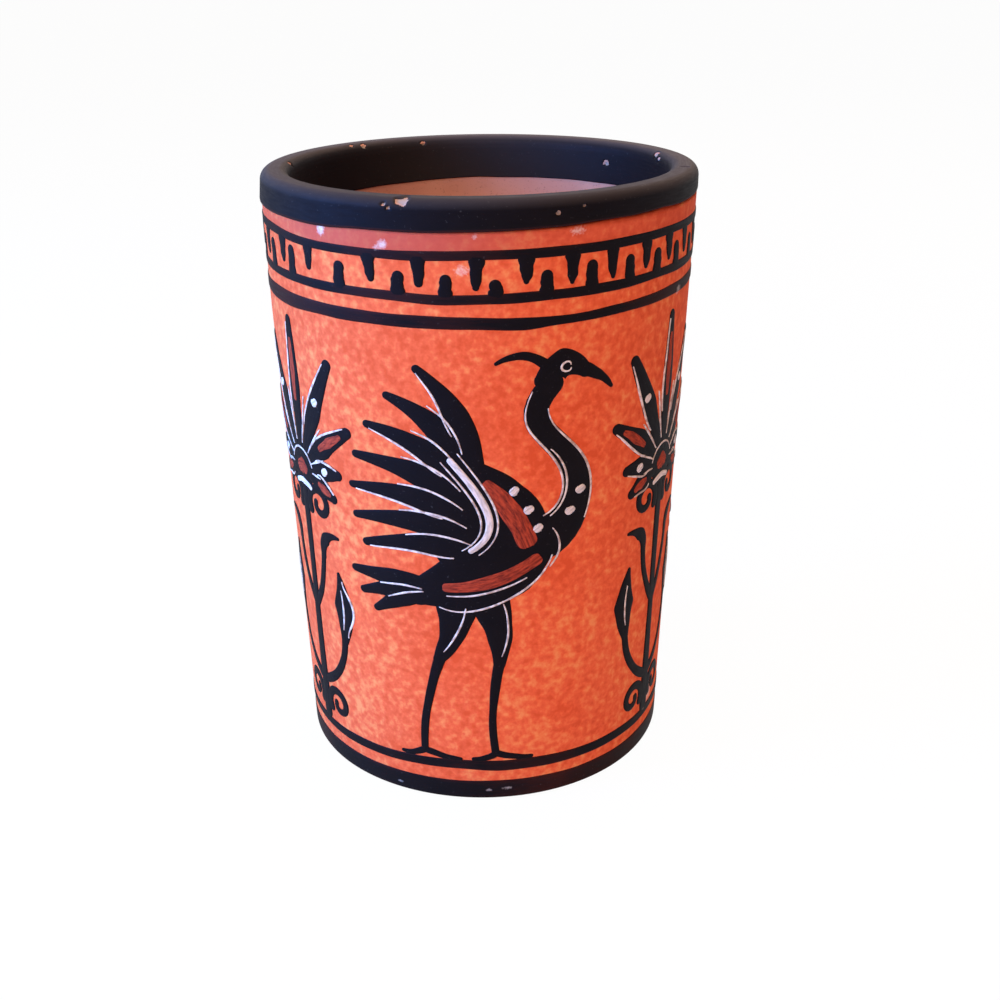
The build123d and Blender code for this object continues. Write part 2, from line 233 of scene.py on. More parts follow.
# A row of points just inside an edge keeps the face's shading flat up to it
EDGE_ROW = 0.03 * MM

rim_low, rim_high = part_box("rim_ring")
inside_z = np.append(np.linspace(wall_low.z, wall_high.z - EDGE_ROW, 149), wall_high.z)[:, None]
outside_z = np.linspace(rim_low.z, wall_low.z, 14)[:, None]
ridge = RIDGE_DEPTH * np.sin(2 * np.pi * inside_z / RIDGE_PITCH + AROUND)
fine = np.sin(2 * np.pi * inside_z / (FINE_RIDGES * RIDGE_PITCH) + 2 * AROUND)
ridge = ridge + FINE_DEPTH * RIDGE_DEPTH * fine
ridge = ridge * np.clip((inside_z - wall_low.z) / RIDGE_PITCH, 0, 1)
ridge = ridge * np.clip((wall_high.z - inside_z) / SMOOTH_TOP, 0, 1)
wall_points = np.concatenate([
    turned(bore(inside_z, AROUND) + ridge, inside_z, AROUND),
    turned(side(outside_z, AROUND) - ORANGE_COAT, outside_z, AROUND),
])
wall_piece = shell("Clay_Wall", wall_points, clay, True)
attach(wall_piece, "root")
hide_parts("body_wall")

# The rim
# A thick coil of the same clay, thrown to a rounded lip a little proud of the side.
# Use has knocked small chips out of it, which bare the clay under the black.

LIP_ROUND = 1.6 * MM
CHIP_DEPTH = 0.24 * MM
UP_ROWS = 12
# The lip was cut a little out of level, so that it dips to the back, and its left side draws in
BACK_DIP = 1.43 * MM
LEFT_DRAW = 0.3 * MM
# The painter's lower edge of the rim runs out of level, lower at the left, and the step under it with it.
# Its larger sways are marks of turn in degrees and millimetres up
RIM_TILT = 0.4 * MM
RIM_WANDER = 0.07 * MM
RIM_SWAY = ((-60, -0.43), (-40, -0.38), (-28, -0.03), (0, 0.04), (18, 0.12), (30, 0.35), (48, 0.36),
            (60, 0.0), (180, 0.0))
# Each chip's turn from the front in degrees, its way up and over the lip and its reach, in millimetres
CHIPS = (
    (-17.9, 4.9, 1.05),
    (-22.2, 4.0, 0.34),
    (-20.9, 3.4, 0.3),
    (-139.5, 8.5, 0.55),
    (-135.0, 8.1, 0.4),
    (-161.5, 9.1, 0.4),
    (-96.0, 8.6, 0.55),
    (132.5, 12.6, 0.65),
    (106.5, 8.6, 0.7),
    (103.0, 9.4, 0.5),
    (75.5, 6.0, 0.5),
    (18.5, 2.3, 0.4),
    (25.0, 3.1, 0.3),
)
RIM_AROUND = np.linspace(-np.pi, np.pi, 900, endpoint=False)


def wander(seed, size, turn):
    """An unsteady hand: waves of 2 to 21 to the turn with seeded phases, the slow ones larger."""
    waves = np.array([2, 3, 5, 8, 13, 21])[:, None]
    phases = np.random.default_rng(seed).uniform(0, 2 * np.pi, waves.shape)
    return (size / waves**0.5 * np.sin(waves * turn + phases)).sum(axis=0)


def eased(marks, turn):
    """A painter's sway through given marks of turn in degrees and millimetres up, eased between them."""
    degrees, rise = np.array(sorted(marks), dtype=float).T
    degrees, rise = np.append(degrees, degrees[0] + 360), np.append(rise, rise[0]) * MM
    spot = np.interp((np.degrees(turn) - degrees[0]) % 360 + degrees[0], degrees, np.arange(len(degrees)))
    before = np.minimum(spot.astype(int), len(degrees) - 2)
    share = spot - before
    return rise[before] + (rise[before + 1] - rise[before]) * share**2 * (3 - 2 * share)


def lip(growth, low):
    """Section of the lip pushed out by growth: up its outside, over the top and down the inside to low."""
    top, outer = rim_high.z + growth, rim_high.x + growth
    inner, bend_radius = bore(top) - growth, LIP_ROUND + growth
    bend = np.linspace(0, np.pi / 2, 16)
    up = np.linspace(slip_high.z, top - bend_radius, UP_ROWS, endpoint=False)
    down = np.append(np.linspace(top - bend_radius, low + EDGE_ROW, 29)[1:], low)
    radius = np.concatenate([
        np.full(up.shape, outer),
        outer - bend_radius * (1 - np.cos(bend)),
        inner + bend_radius * (1 - np.sin(bend)),
        bore(down) - growth,
    ])
    over = [top - bend_radius * (1 - np.sin(bend)), top - bend_radius * (1 - np.cos(bend))]
    return radius[:, None], np.concatenate([up, *over, down])[:, None]


def along(radius, height):
    """The way along a section from its first point to each of its points."""
    return np.append(0, np.cumsum(np.hypot(np.diff(radius[:, 0]), np.diff(height[:, 0]))))[:, None]


def chipped(radius, height):
    """How far the lip is chipped, 0 to 1: round each chip a ragged spot fades out at its reach."""
    most = np.zeros((len(radius), len(RIM_AROUND)))
    for degrees, way, reach in CHIPS:
        across = np.angle(np.exp(1j * (RIM_AROUND - np.radians(degrees)))) * radius
        up = along(radius, height) - way * MM
        heading = np.arctan2(up, across)
        ragged = 1 + 0.1 * np.sin(3 * heading + way) + 0.08 * np.sin(5 * heading + degrees)
        most = np.maximum(most, np.clip((1.15 - np.hypot(across, up) / (reach * MM * ragged)) / 0.3, 0, 1))
    return most


def pushed(radius, height, depth):
    """The section's points moved in by depth, square to the section."""
    rise = np.gradient(height[:, 0])[:, None]
    run = np.gradient(radius[:, 0])[:, None]
    size = np.hypot(rise, run)
    return radius - depth * rise / size, height + depth * run / size


def lip_round(radius, height, outer_edge, inner_edge=0.0):
    """The lip carried round the axis: its top dips to the back, its left draws in and its painted edges sway.

    The shares run from 0 at the lip's lower edges to 1 where its top begins to round.
    """
    shoulder = rim_high.z - LIP_ROUND
    outside = np.arange(len(radius))[:, None] < UP_ROWS
    low = np.where(outside, slip_high.z, coat_low.z)
    share = np.clip((height - low) / (shoulder - low), 0, 1)
    edge = np.where(outside, outer_edge, inner_edge)
    dip = BACK_DIP * (1 - np.cos(RIM_AROUND)) / 2
    draw = LEFT_DRAW * np.clip(-np.sin(RIM_AROUND), 0, 1) ** 2 * share + draw_in(slip_high.z, RIM_AROUND)
    out = lean(slip_high.z, RIM_AROUND) * ~outside * (1 - share)
    return turned(radius - draw + out, height - dip * share + edge * (1 - share), RIM_AROUND)


coat_low, coat_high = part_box("rim_black_slip")
rim_edge = RIM_TILT * np.sin(RIM_AROUND) + eased(RIM_SWAY, RIM_AROUND) + wander(1, RIM_WANDER, RIM_AROUND)
clay_lip = lip(0, wall_high.z)
chips = chipped(*clay_lip)
rim_points = np.concatenate([
    lip_round(*pushed(*clay_lip, CHIP_DEPTH * chips), rim_edge),
    turned(side(rim_low.z, RIM_AROUND) - ORANGE_COAT, np.array([[rim_low.z]]), RIM_AROUND),
    turned(side(slip_high.z, RIM_AROUND) - ORANGE_COAT, slip_high.z + rim_edge[None], RIM_AROUND),
])
rim_fresh = np.concatenate([chips, np.zeros((2, len(RIM_AROUND)))])
rim_piece = shell("Clay_Rim", rim_points, clay, True, fresh=rim_fresh)
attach(rim_piece, "root")
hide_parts("rim_ring")

# The orange ground
# A coat of bright orange slip over the whole side, dabbed on with a sponge and burnished a little.
# The sponge leaves it flecked, with paler orange over a redder first coat.

GROUND_AROUND = np.linspace(-np.pi, np.pi, 480, endpoint=False)
GROUND_HIGH = slip_high.z - 0.6 * MM
GROUND_SINK = 0.03 * MM
GROUND_SWELL = 0.015 * MM
# How far the ground runs up under the rim's black, and how far its back lies in the clay
GROUND_LAP = 0.1 * MM
GROUND_BACK = 1.25 * ORANGE_COAT
# The stripe under the rim is dulled all round and more at one place, by its turn and reach in degrees
STRIPE_DULL = 0.3
STRIPE_DULLEST = 0.45
STRIPE_DULL_AT = -24
STRIPE_DULL_REACH = 32
# It starts a little below the top of the line under it, and fades in
STRIPE_LAP = 0.9 * MM
STRIPE_FADE = 0.6 * MM
# Each spot rubbed by use: its turn from the front in degrees, its height, its reach across and up
# in millimetres, and how far it is rubbed
RUBBED = (
    (-41.0, 103.1, 0.7, 0.9, 1.0),
    (-23.0, 101.9, 0.7, 0.6, 0.9),
    (-24.6, 101.3, 0.5, 0.4, 0.7),
    (-4.0, 98.3, 1.1, 0.7, 0.6),
    (-1.0, 103.5, 0.4, 0.5, 0.6),
    (23.5, 103.7, 1.2, 0.6, 0.7),
    (62.5, 89.8, 0.8, 0.7, 0.8),
    (64.0, 10.4, 1.6, 1.9, 0.9),
    (60.0, 8.2, 0.8, 0.7, 0.7),
    (0.5, 2.0, 0.5, 0.25, 0.8),
    (6.0, 2.3, 0.8, 0.3, 0.8),
    (-27.5, 1.6, 0.6, 0.25, 0.8),
    (-118.0, 66.0, 1.4, 0.5, 0.7),
    (152.0, 31.0, 0.7, 1.2, 0.7),
)


def rubbed(z, turn):
    """How far use has rubbed the coat, 0 to 1: each spot fades out round its middle."""
    most = np.zeros(np.broadcast_shapes(np.shape(z), np.shape(turn)))
    for degrees, height, wide, high, how_far in RUBBED:
        across = np.angle(np.exp(1j * (turn - np.radians(degrees)))) * side(z) / (wide * MM)
        off = np.hypot(across, (z - height * MM) / (high * MM))
        most = np.maximum(most, how_far * np.clip(1.4 - 0.8 * off, 0, 1))
    return most


def ground(z, turn):
    """Radius of the painted ground: the side's, with shallow hollows and swells a few centimetres wide."""
    swell = np.sin(3 * turn + z / (17 * MM)) + np.sin(2 * turn - z / (11 * MM) + 1)
    return side(z, turn) - GROUND_SINK + GROUND_SWELL * swell


# Orange slip, sponged on and rubbed: half matt, its flecks a millimetre or two across and its colour
# drifting over a centimetre or two. The stripe under the rim is dulled by the hand, and spots of it
# are rubbed down to the pale clay.
orange = bare_material("Sponged_Orange_Slip")
tree = orange.node_tree
place = node(tree, "ShaderNodeTexCoord", {}).outputs["Object"]
dulled = node(tree, "ShaderNodeAttribute", {}, attribute_name="dulled").outputs["Fac"]
worn = node(tree, "ShaderNodeAttribute", {}, attribute_name="rubbed").outputs["Fac"]
sponge = node(tree, "ShaderNodeTexNoise", {"Vector": place, "Scale": 1 / (1.4 * MM), "Detail": 2.5,
                                           "Roughness": 0.56})
drift = node(tree, "ShaderNodeTexNoise", {"Vector": place, "Scale": 1 / (14 * MM), "Detail": 2.0})
pores = node(tree, "ShaderNodeTexNoise", {"Vector": place, "Scale": 1 / (0.35 * MM), "Detail": 2.0})
shifted = node(tree, "ShaderNodeMath", {0: drift.outputs[0], 1: 0.45, 2: sponge.outputs[0]},
               operation="MULTIPLY_ADD")
flecked = node(tree, "ShaderNodeValToRGB", {0: shifted.outputs[0]})
stops = flecked.color_ramp.elements
stops[0].position, stops[0].color = 0.54, linear("#DA4E28")
stops[1].position, stops[1].color = 0.97, linear("#EF8149")
stops.new(0.755).color = linear("#E95E36")
stripe = node(tree, "ShaderNodeMix", {0: dulled, 6: flecked.outputs[0], 7: linear("#B64A3C")},
              data_type="RGBA")
ragged = node(tree, "ShaderNodeMath", {0: pores.outputs[0], 1: 0.9, 2: worn}, operation="MULTIPLY_ADD")
bared = node(tree, "ShaderNodeMapRange", {0: ragged.outputs[0], 1: 0.7, 2: 1.5, 3: 0.0, 4: 0.8})
scuffed = node(tree, "ShaderNodeMix", {0: bared.outputs[0], 6: stripe.outputs[2], 7: linear("#E8CFC2")},
               data_type="RGBA")
grain = node(tree, "ShaderNodeMath", {0: pores.outputs[0], 1: 0.6, 2: sponge.outputs[0]},
             operation="MULTIPLY_ADD")
dabbed = node(tree, "ShaderNodeBump", {"Height": grain.outputs[0], "Strength": 0.35, "Distance": 0.06 * MM})
sheen = node(tree, "ShaderNodeMapRange", {0: sponge.outputs[0], 1: 0.3, 2: 0.7, 3: 0.66, 4: 0.8})
burnished = node(tree, "ShaderNodeBsdfPrincipled", {
    "Base Color": scuffed.outputs[2], "Roughness": sheen.outputs[0], "IOR": 1.5,
    "Specular IOR Level": 0.05, "Normal": dabbed.outputs[0],
})
node(tree, "ShaderNodeOutputMaterial", {"Surface": burnished.outputs[0]})

face_z = np.linspace(slip_low.z, GROUND_HIGH, 185)[:, None]
back_z = np.linspace(slip_high.z, slip_low.z, 6)[:, None]
top_z = slip_high.z + np.interp(GROUND_AROUND, RIM_AROUND, rim_edge)[None] + GROUND_LAP
ground_points = np.concatenate([
    turned(ground(face_z, GROUND_AROUND), face_z, GROUND_AROUND),
    turned(ground(top_z, GROUND_AROUND), top_z, GROUND_AROUND),
    turned(side(back_z, GROUND_AROUND) - GROUND_BACK, back_z, GROUND_AROUND),
])
ground_z = ground_points[..., 2]
stripe_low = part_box("key_top_line")[1].z - STRIPE_LAP
from_dullest = (np.degrees(GROUND_AROUND) - STRIPE_DULL_AT) / STRIPE_DULL_REACH
ground_dull = STRIPE_DULL + STRIPE_DULLEST * np.exp(-from_dullest**4)
ground_dull = ground_dull * np.clip((ground_z - stripe_low) / STRIPE_FADE, 0, 1)
ground_piece = shell("Orange_Ground", ground_points, orange, True, dulled=ground_dull,
                     rubbed=rubbed(ground_z, GROUND_AROUND))
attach(ground_piece, "root")
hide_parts("orange_slip")

# The rim's black
# The lip was dipped in black slip and touched up with a brush, outside, over the top and down the inside.
# Where the lip is chipped, the slip has gone with the clay.

SLIP_BACK = -0.42 * MM
SLIP_CHIP_DEPTH = 0.52 * MM
# How far the lip's round top is greyed by wear and painted sheen, more so at the back and the far inside:
# painted reflection
LIP_WEAR_AND_SHEEN = 0.34
BACK_PAINTED_REFLECTION = 1.4
INSIDE_PAINTED_REFLECTION = 0.2
LIP_TOP_WAY = 6.2 * MM
LIP_GREY_REACH = 3.0 * MM
# The inner edge runs out of level too, a little below the coat's measured edge
INNER_TILT = 0.52 * MM
INNER_DROP = 0.3 * MM
INNER_WANDER = 0.12 * MM
EDGE_THINNING = 0.35 * BLACK_COAT
THIN_EDGE = 0.45
# A unit of the brush's way is this length along a band, and a millimetre across it
BAND_STREAK = 8 * MM

# Black slip, brushed thick and fired to a soft sheen: brown where the coat is thin, with faint streaks
# along the stroke and grey dust in its pores.
# The grey mixed into the lip's black is partly wear and partly a painted sheen, and at the back a painted
# reflection.
black = bare_material("Brushed_Black_Slip")
tree = black.node_tree
place = node(tree, "ShaderNodeTexCoord", {}).outputs["Object"]
brush = node(tree, "ShaderNodeAttribute", {}, attribute_name="brush").outputs["Vector"]
thin = node(tree, "ShaderNodeAttribute", {}, attribute_name="thin").outputs["Fac"]
dulled = node(tree, "ShaderNodeAttribute", {}, attribute_name="dulled").outputs["Fac"]
worn = node(tree, "ShaderNodeAttribute", {}, attribute_name="rubbed").outputs["Fac"]
streak = node(tree, "ShaderNodeTexNoise", {"Vector": brush, "Scale": 2.4, "Detail": 3.0, "Roughness": 0.6})
blotch = node(tree, "ShaderNodeTexNoise", {"Vector": place, "Scale": 1 / (4 * MM), "Detail": 3.0})
dust = node(tree, "ShaderNodeTexNoise", {"Vector": place, "Scale": 1 / (0.45 * MM), "Detail": 1.0})
cover = node(tree, "ShaderNodeMath", {0: streak.outputs[0], 1: 0.45, 2: thin}, operation="MULTIPLY_ADD")
starved = node(tree, "ShaderNodeMapRange", {0: cover.outputs[0], 1: 0.4, 2: 1.4, 3: 0.0, 4: 0.5})
brushed = node(tree, "ShaderNodeMix", {0: blotch.outputs[0], 6: linear("#0E0908"), 7: linear("#180F0D")},
               data_type="RGBA")
browned = node(tree, "ShaderNodeMix", {0: starved.outputs[0], 6: brushed.outputs[2], 7: linear("#6B2A17")},
               data_type="RGBA")
# Grey where the lip is worn, and where a sheen and, at the back and far inside, a reflection are painted in
matted_and_sheened = node(tree, "ShaderNodeMix", {0: dulled, 6: browned.outputs[2], 7: linear("#564A48")},
              data_type="RGBA")
dusty = node(tree, "ShaderNodeMapRange", {0: dust.outputs[0], 1: 0.7, 2: 0.8, 3: 0.0, 4: 0.08})
dusted = node(tree, "ShaderNodeMix", {0: dusty.outputs[0], 6: matted_and_sheened.outputs[2], 7: linear("#8E8580")},
              data_type="RGBA")
ragged = node(tree, "ShaderNodeMath", {0: dust.outputs[0], 1: 0.9, 2: worn}, operation="MULTIPLY_ADD")
bared = node(tree, "ShaderNodeMapRange", {0: ragged.outputs[0], 1: 0.75, 2: 1.5, 3: 0.0, 4: 0.6})
scuffed = node(tree, "ShaderNodeMix", {0: bared.outputs[0], 6: dusted.outputs[2], 7: linear("#CDB5A8")},
               data_type="RGBA")
satin = node(tree, "ShaderNodeMapRange", {0: streak.outputs[0], 1: 0.3, 2: 0.7, 3: 0.58, 4: 0.72})
combed = node(tree, "ShaderNodeBump", {"Height": streak.outputs[0], "Strength": 0.3, "Distance": 0.05 * MM})
fired_black = node(tree, "ShaderNodeBsdfPrincipled", {
    "Base Color": scuffed.outputs[2], "Roughness": satin.outputs[0], "IOR": 1.5,
    "Specular IOR Level": 0.075, "Specular Tint": linear("#A8C4FA"), "Normal": combed.outputs[0],
})
node(tree, "ShaderNodeOutputMaterial", {"Surface": fired_black.outputs[0]})

face, back = lip(BLACK_COAT, coat_low.z), lip(SLIP_BACK, coat_low.z)
inner_edge = INNER_TILT * np.sin(RIM_AROUND) - INNER_DROP + wander(2, INNER_WANDER, RIM_AROUND)
from_edge = np.minimum(np.arange(len(face[0])), np.arange(len(face[0]))[::-1])[:, None]
worn_in = SLIP_CHIP_DEPTH * chipped(*face) + EDGE_THINNING * (from_edge == 0)
face_points = lip_round(*pushed(*face, worn_in), rim_edge, inner_edge)
back_points = lip_round(*back, rim_edge, inner_edge)
rim_brush = np.broadcast_arrays(RIM_AROUND * coat_high.x / BAND_STREAK, along(*face) / MM, 0.0)
rim_brush = np.stack(rim_brush, axis=-1)
rim_thin = np.broadcast_to(THIN_EDGE * (from_edge < 2), face_points.shape[:2])
# The lip's grey: wear and painted sheen on its top, and painted reflection at the back and the far inside
rim_dull_and_sheen = LIP_WEAR_AND_SHEEN * np.clip(1 - ((along(*face) - LIP_TOP_WAY) / LIP_GREY_REACH) ** 2, 0, 1)
backward = (1 - np.cos(RIM_AROUND)) / 2
rim_dull_and_sheen = rim_dull_and_sheen * (1 + BACK_PAINTED_REFLECTION * backward)
inside = np.clip((along(*face) - LIP_TOP_WAY) / LIP_GREY_REACH, 0, 1)
rim_dull_and_sheen = np.maximum(rim_dull_and_sheen, INSIDE_PAINTED_REFLECTION * inside * backward**6)
# The coat's hidden back, in the clay, needs only every third row
back_rows = np.arange(len(face_points))[::-3]
rim_slip = shell(
    "Rim_Black", np.concatenate([face_points, back_points[back_rows]]), black, True,
    brush=np.concatenate([rim_brush, rim_brush[back_rows]]),
    thin=np.concatenate([rim_thin, rim_thin[back_rows]]),
    dulled=np.concatenate([rim_dull_and_sheen, rim_dull_and_sheen[back_rows]]),
)
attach(rim_slip, "root")
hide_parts("rim_black_slip")

# The black lines and the foot band
# Five bands of black slip, run round with a loaded brush as the beaker turned on the wheel.
# The hand swayed a little, and the coat is thin and brown where the brush ran dry.

# How far a stroke's edges lie under the ground, so that no gap shows
SINK = 0.03 * MM
BAND_AROUND = np.linspace(-np.pi, np.pi, 720, endpoint=False)
BAND_FILL = 0.9
FOOT_REST = 0.02 * MM
# How much thinner a band is at its edges, and where the brush ran dry
EDGE_DRY = 0.3
BRUSH_DRY = 0.25
# Each line's node, its seed, how far its edges sway in millimetres and how thinly it is painted,
# then the larger sways of its lower and its upper edge
BANDS = (
    ("key_top_line", 11, 0.07, 0.18,
     ((-66, 0.35), (-45, -0.15), (-20, -0.2), (0, 0.1), (30, 0.15), (50, 0.2), (75, 0), (180, 0)),
     ((-66, 0.45), (-45, -0.08), (-20, -0.15), (0, 0.17), (30, 0.24), (50, 0.3), (75, 0.1), (180, 0))),
    ("key_bottom_line", 12, 0.09, 0.22,
     ((-60, -0.4), (-42, -0.33), (-24, -0.22), (-8, -0.68), (4, -0.64), (20, -0.4), (33, -0.33),
      (48, -0.1), (62, -0.24), (180, 0)),
     ((-60, -0.3), (-24, -0.2), (-4, -0.4), (20, -0.25), (62, -0.15), (180, 0))),
    ("frieze_top_line", 13, 0.09, 0.28,
     ((-57, -0.82), (-40, -0.37), (-22, -0.2), (-4, -0.2), (10, -0.65), (19, -0.25), (50, -0.12), (180, 0)),
     ((-59, 0.18), (-40, 0.3), (-20, 0.18), (-5, 0), (8, -0.3), (22, -0.6), (36, -0.1), (48, 0.15),
      (60, 0.35), (180, 0))),
    ("frieze_ground_line", 14, 0.09, 0.16,
     ((-60, -0.05), (-42, -0.08), (-8, 0.45), (6, 0.05), (20, -0.1), (180, 0)),
     ((-60, -0.2), (-42, 0.1), (-4, 0.52), (12, 0.4), (30, 0.1), (180, 0))),
    ("foot_band", 15, 0.08, 0.26,
     ((0, -1), (180, -1)),
     ((-20, -0.04), (0, 0.17), (14, 0.14), (30, 0), (180, 0))),
)


def tuck(z):
    """How far the side draws in under the foot's rounding: a quarter circle."""
    below = np.clip(1 - z / foot_round, 0, 1)
    return foot_round * (1 - np.sqrt(1 - below**2))


def painted_band(low, high, seed, sway):
    """Points, brush way and thinness of a band: across it the coat swells from sunk edges to full depth."""
    share = (1 - np.cos(np.linspace(0, np.pi, 25)))[:, None] / 2
    bottom = np.maximum(low + wander(seed, sway * MM, BAND_AROUND), FOOT_REST)
    top = high + wander(seed + 100, sway * MM, BAND_AROUND)
    z = bottom + (top - bottom) * share
    edge = np.abs(2 * share - 1)
    lift = (BLACK_COAT + SINK) * (1 - edge**8) * BAND_FILL - SINK
    dry = np.clip(wander(seed + 200, 1.0, BAND_AROUND) / 2, -1, 1)
    way = np.broadcast_arrays(BAND_AROUND * slip_high.x / BAND_STREAK, z / MM, float(seed))
    points = turned(ground(z, BAND_AROUND) + lift - tuck(z), z, BAND_AROUND)
    return points, np.stack(way, axis=-1), EDGE_DRY * edge**4 + BRUSH_DRY * dry


for band, seed, sway, thinness, low_sway, high_sway in BANDS:
    band_low, band_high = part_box(band)
    low = band_low.z + eased(low_sway, BAND_AROUND)
    high = band_high.z + eased(high_sway, BAND_AROUND)
    points, way, dry = painted_band(low, high, seed, sway)
    band_piece = shell(band.title(), points, black, True, brush=way, thin=dry + thinness,
                       rubbed=rubbed(points[..., 2], BAND_AROUND))
    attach(band_piece, "root")
    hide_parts(band)

# The key border's tongues
# Short brush marks of black slip: wedges hang from the border's upper line, and rounder ones stand
# on its lower line. Each was put on with one press of the brush, so no two are alike.

STROKE_RINGS = 26
CAP_RINGS = 6
STROKE_STREAK = 5 * MM
# A stroke's points across it, in half widths, and how deep the coat is at each
ACROSS = np.array([-1, -0.96, -0.85, -0.55, 0, 0.55, 0.85, 0.96, 1])
SWELL = np.array([0, 0.55, 0.88, 1, 1, 1, 0.88, 0.55, 0])


def drawn(points, share):
    """Places on the smooth line through a stroke's points, the way it heads there and the way square to that.

    The line is one polynomial through all the points, by the way along their chords.
    """
    points = np.array(points, dtype=float)
    run = np.append(0, np.cumsum(np.hypot(*np.diff(points, axis=0).T)))
    curve = np.polyfit(run / run[-1], points, len(points) - 1)
    spot = np.stack([np.polyval(curve[:, axis], share) for axis in (0, 1)], axis=-1)
    heading = np.stack([np.polyval(np.polyder(curve[:, axis]), share) for axis in (0, 1)], axis=-1)
    heading = heading / np.linalg.norm(heading, axis=-1, keepdims=True)
    return spot, heading, np.stack([-heading[:, 1], heading[:, 0]], axis=-1)


def stroke(points, half_widths, hand, depth, turn=0.0, unsteady=0.05 * MM):
    """One brush stroke laid on the side: rings of points across a smooth line, with round ends.

    The line is drawn flat, with u across and z up in metres, and its points go straight back onto the ground.
    Returns the points, their brush way and how near they are to the stroke's edge.
    """
    bend = np.linspace(0, np.pi / 2, CAP_RINGS, endpoint=False)
    body = np.linspace(0, 1, STROKE_RINGS)
    share = np.concatenate([np.zeros(CAP_RINGS), body, np.ones(CAP_RINGS)])
    full = np.concatenate([np.sin(bend), np.ones(STROKE_RINGS), np.sin(bend[::-1])])
    half = np.interp(share, np.linspace(0, 1, len(half_widths)), half_widths)
    beyond = np.concatenate([-np.cos(bend), np.zeros(STROKE_RINGS), np.cos(bend[::-1])]) * half
    spot, heading, square = drawn(points, share)
    phase = hand.uniform(0, 2 * np.pi, 4)
    drift = unsteady * (np.sin(5 * share + phase[0]) + 0.6 * np.sin(11 * share + phase[1]))
    uneven = 0.03 * np.sin(9 * share + phase[2]) + 0.02 * np.sin(17 * share + phase[3])
    breadth = half * full * (1 + uneven)
    spot = spot + heading * beyond[:, None] + square * drift[:, None]
    flat = spot[:, None] + square[:, None] * (breadth[:, None] * ACROSS)[..., None]
    depth = depth * (1 + hand.uniform(-0.08, 0.0))
    lift = (depth + SINK) * SWELL * np.sqrt(full)[:, None] - SINK
    u, z = flat[..., 0], flat[..., 1]
    around = np.arcsin(u / ground(z, 0.0))
    radius = ground(z, around + turn) + lift
    around = np.arcsin(u / radius) + turn
    length = np.hypot(*np.diff(np.array(points), axis=0).T).sum()
    streaks = share[:, None] * length / STROKE_STREAK
    way = np.broadcast_arrays(streaks, breadth[:, None] * ACROSS / MM, hand.uniform(0, 90))
    edge = np.broadcast_to(np.abs(ACROSS), u.shape)
    return turned(radius, z, around), np.stack(way, axis=-1), edge


def laid(strokes):
    """The strokes' points, brush ways and edges, each stacked into one array."""
    return [np.stack(part) for part in zip(*strokes)]


# The front's marks, as turn in degrees and length and width of tip in millimetres, then even ones
# round the back
HANGING = [(-59, 3.9, 1.0), (-46.8, 3.8, 1.3), (-27.0, 3.9, 1.3), (-14.1, 4.2, 1.4), (-0.8, 4.6, 1.2),
           (11.3, 3.8, 0.9), (22.0, 4.4, 0.8), (33.9, 4.5, 0.8), (44.8, 4.1, 0.9), (54.6, 4.0, 0.9),
           (64.8, 4.0, 1.0)]
HANGING += [(turn, 4.0, 1.0) for turn in np.linspace(75, 290, 19)]
STANDING = [(-65.5, 4.0), (-54, 4.2), (-36.0, 3.5), (-20.1, 3.0), (-8.4, 2.7), (3.4, 1.9), (16.2, 3.0),
            (28.1, 3.8), (39.5, 3.6), (49.9, 3.5), (59.8, 3.5)]
STANDING += [(turn, 3.4) for turn in np.linspace(69.5, 283.5, 19)]
# Half widths along a mark, short of the hanging ones' tip, and how far below its line's edge the root starts
WEDGE_HALVES = (1.35, 1.05, 0.98, 0.9)
ARCH_HALVES = (1.22, 1.08, 1.03, 1.0)
WEDGE_BELOW = 0.05 * MM
ARCH_BELOW = 0.25 * MM
MARK_DRY = 0.25

hang_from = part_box("key_top_line")[0].z
stand_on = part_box("key_bottom_line")[1].z
hand = np.random.default_rng(21)
wedges = []
for degrees, length, tip_width in HANGING:
    slant = hand.uniform(-0.25, 0.25) * MM
    root, tip = hang_from - WEDGE_BELOW, hang_from - length * MM
    widths = np.array([*WEDGE_HALVES, tip_width / 2]) * MM * hand.uniform(0.94, 1.08)
    line = [(0, root), (0.4 * slant, (root + tip) / 2), (slant, tip + widths[-1])]
    wedges.append(stroke(line, widths, hand, BLACK_COAT, np.radians(degrees + hand.uniform(-0.5, 0.5))))
points, way, edge = laid(wedges)
hanging = shell("Key_Hanging_Tongues", points, black, False, brush=way, thin=MARK_DRY * edge**6)
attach(hanging, "root")
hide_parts("key_hanging_tongues")

arches = []
for degrees, length in STANDING:
    slant = hand.uniform(-0.2, 0.2) * MM
    root, tip = stand_on - ARCH_BELOW, stand_on + length * MM
    widths = np.array(ARCH_HALVES) * MM * hand.uniform(0.94, 1.05)
    line = [(0, root), (0.5 * slant, (root + tip) / 2), (slant, tip - widths[-1])]
    arches.append(stroke(line, widths, hand, BLACK_COAT, np.radians(degrees + hand.uniform(-0.5, 0.5))))
points, way, edge = laid(arches)
standing = shell("Key_Standing_Tongues", points, black, False, brush=way, thin=MARK_DRY * edge**6)
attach(standing, "root")
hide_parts("key_standing_tongues")

# The wading birds
# Three birds in black slip, painted in silhouette with a pointed brush, a third of a turn apart.
# They are drawn on a grid of a hundred units between the frieze's two lines, u across and z up.

FIGURE_PAIRS = 3
FIGURE_HEADROOM = 2.0 * MM
WING_HUB = (4, 52)
WING_FEATHERS = 7
FEATHER_HALVES = [2.6, 2.9, 0.9]
TAIL_HUB = (-11, 44)
FIGURE_DRY = 0.2

ground_line_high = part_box("frieze_ground_line")[1].z
frieze_line_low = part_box("frieze_top_line")[0].z
UNIT = (frieze_line_low - FIGURE_HEADROOM - ground_line_high) / 100


